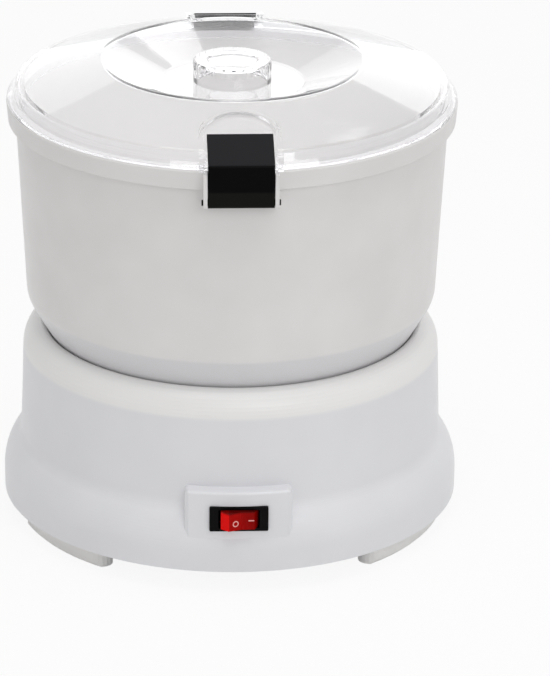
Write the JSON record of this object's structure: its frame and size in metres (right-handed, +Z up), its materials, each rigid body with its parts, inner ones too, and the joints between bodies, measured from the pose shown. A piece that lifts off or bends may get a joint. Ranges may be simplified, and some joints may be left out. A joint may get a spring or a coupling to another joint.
{
  "type": "electric potato peeler",
  "caption": "Countertop electric potato peeler: flared motor base with rocker switch, lift-off bowl with a gear-driven abrasive disc, and a clear lid held by hinged latches.",
  "frame": {"origin": "centre of the footprint, on the surface that the feet stand on", "axes": "+Z up along the axis of the bowl, the base and the output shaft; -Y is the front, with the switch and the front latch; +X is to the right seen from the front"},
  "size_m": [0.255, 0.2621, 0.2629],
  "materials": {
    "white_housing": "moulded, soft gloss",
    "white_bowl": "moulded, soft gloss",
    "grey_plastic": "moulded, satin",
    "grey_feet": "moulded, satin",
    "clear_lid": "clear moulded plastic, polished",
    "black_latch": "moulded, polished",
    "black_switch": "moulded, satin",
    "red_rocker": "translucent, polished",
    "black_rubber": "matte",
    "nylon": "natural, satin",
    "lamination_steel": "stacked laminations, oiled",
    "chassis_steel": "zinc plated",
    "shaft_steel": "ground",
    "screw_steel": "zinc plated",
    "bronze": "sintered bronze",
    "terminal_brass": "bare",
    "copper_wire": "enamelled copper wire",
    "grit": "bonded abrasive grit"
  },
  "bodies": {
    "base": {"base_housing": "white_housing", "floor_plate": "grey_plastic", "floor_screws": "screw_steel", "foot_front_right": "grey_feet", "foot_front_left": "grey_feet", "foot_rear_left": "grey_feet", "foot_rear_right": "grey_feet", "foot_screws": "screw_steel", "chassis_plate": "chassis_steel", "chassis_screws": "screw_steel", "lower_bush": "bronze", "upper_bush": "bronze", "shaft_seal": "black_rubber", "stator_stack": "lamination_steel", "coil_bobbin": "nylon", "coil_winding": "copper_wire", "motor_top_bracket": "chassis_steel", "motor_bottom_bracket": "chassis_steel", "motor_bushes": "bronze", "motor_screws": "screw_steel", "switch_body": "black_switch", "switch_terminals": "terminal_brass", "cord_gland": "black_rubber", "terminal_block": "nylon", "terminal_screws": "terminal_brass"},
    "rotor": {"rotor_core": "lamination_steel", "motor_shaft": "shaft_steel", "cooling_fan": "nylon", "pinion": "nylon"},
    "output": {"drive_gear": "nylon", "output_shaft": "shaft_steel", "gear_pin": "shaft_steel", "shaft_circlip": "shaft_steel"},
    "rocker": {"switch_rocker": "red_rocker"},
    "bowl": {"bowl": "white_bowl", "front_latch_pin": "black_latch", "rear_latch_pin": "black_latch"},
    "disc": {"peeling_disc": "grey_plastic", "abrasive_sheet": "grit", "hub_insert": "shaft_steel"},
    "lid": {"lid": "clear_lid"},
    "front_latch": {"front_latch": "black_latch"},
    "rear_latch": {"rear_latch": "black_latch"}
  },
  "joints": [
    {"name": "disc_spin", "type": "hinge", "parent": "bowl", "child": "disc", "pos_m": [0, 0, 0.13], "axis": [0, 0, 1], "continuous": true},
    {"name": "output_spin", "type": "hinge", "parent": "base", "child": "output", "pos_m": [0, 0, 0.08], "axis": [0, 0, 1], "continuous": true},
    {"name": "rotor_spin", "type": "hinge", "parent": "base", "child": "rotor", "pos_m": [0, 0.05625, 0.04], "axis": [0, 0, 1], "continuous": true},
    {"name": "bowl_lift", "type": "slide", "parent": "base", "child": "bowl", "axis": [0, 0, 1], "range_m": [0, 0.08]},
    {"name": "lid_lift", "type": "slide", "parent": "bowl", "child": "lid", "axis": [0, 0, 1], "range_m": [0, 0.04]},
    {"name": "front_latch_open", "type": "hinge", "parent": "bowl", "child": "front_latch", "pos_m": [0, -0.1266, 0.2247], "axis": [1, 0, 0], "range_deg": [0, 136]},
    {"name": "rear_latch_open", "type": "hinge", "parent": "bowl", "child": "rear_latch", "pos_m": [0, 0.1266, 0.2247], "axis": [-1, 0, 0], "range_deg": [0, 136]},
    {"name": "rocker_press", "type": "hinge", "parent": "base", "child": "rocker", "pos_m": [0, -0.1241, 0.0432], "axis": [0, 0, -1], "range_deg": [0, 24]}
  ],
  "couplings": [
    {"joint": "output_spin", "follows": "disc_spin", "ratio": 1},
    {"joint": "rotor_spin", "follows": "disc_spin", "ratio": -4},
    {"joint": "front_latch_open", "follows": "lid_lift", "rad_per_m": 58.9},
    {"joint": "rear_latch_open", "follows": "lid_lift", "rad_per_m": 58.9}
  ]
}
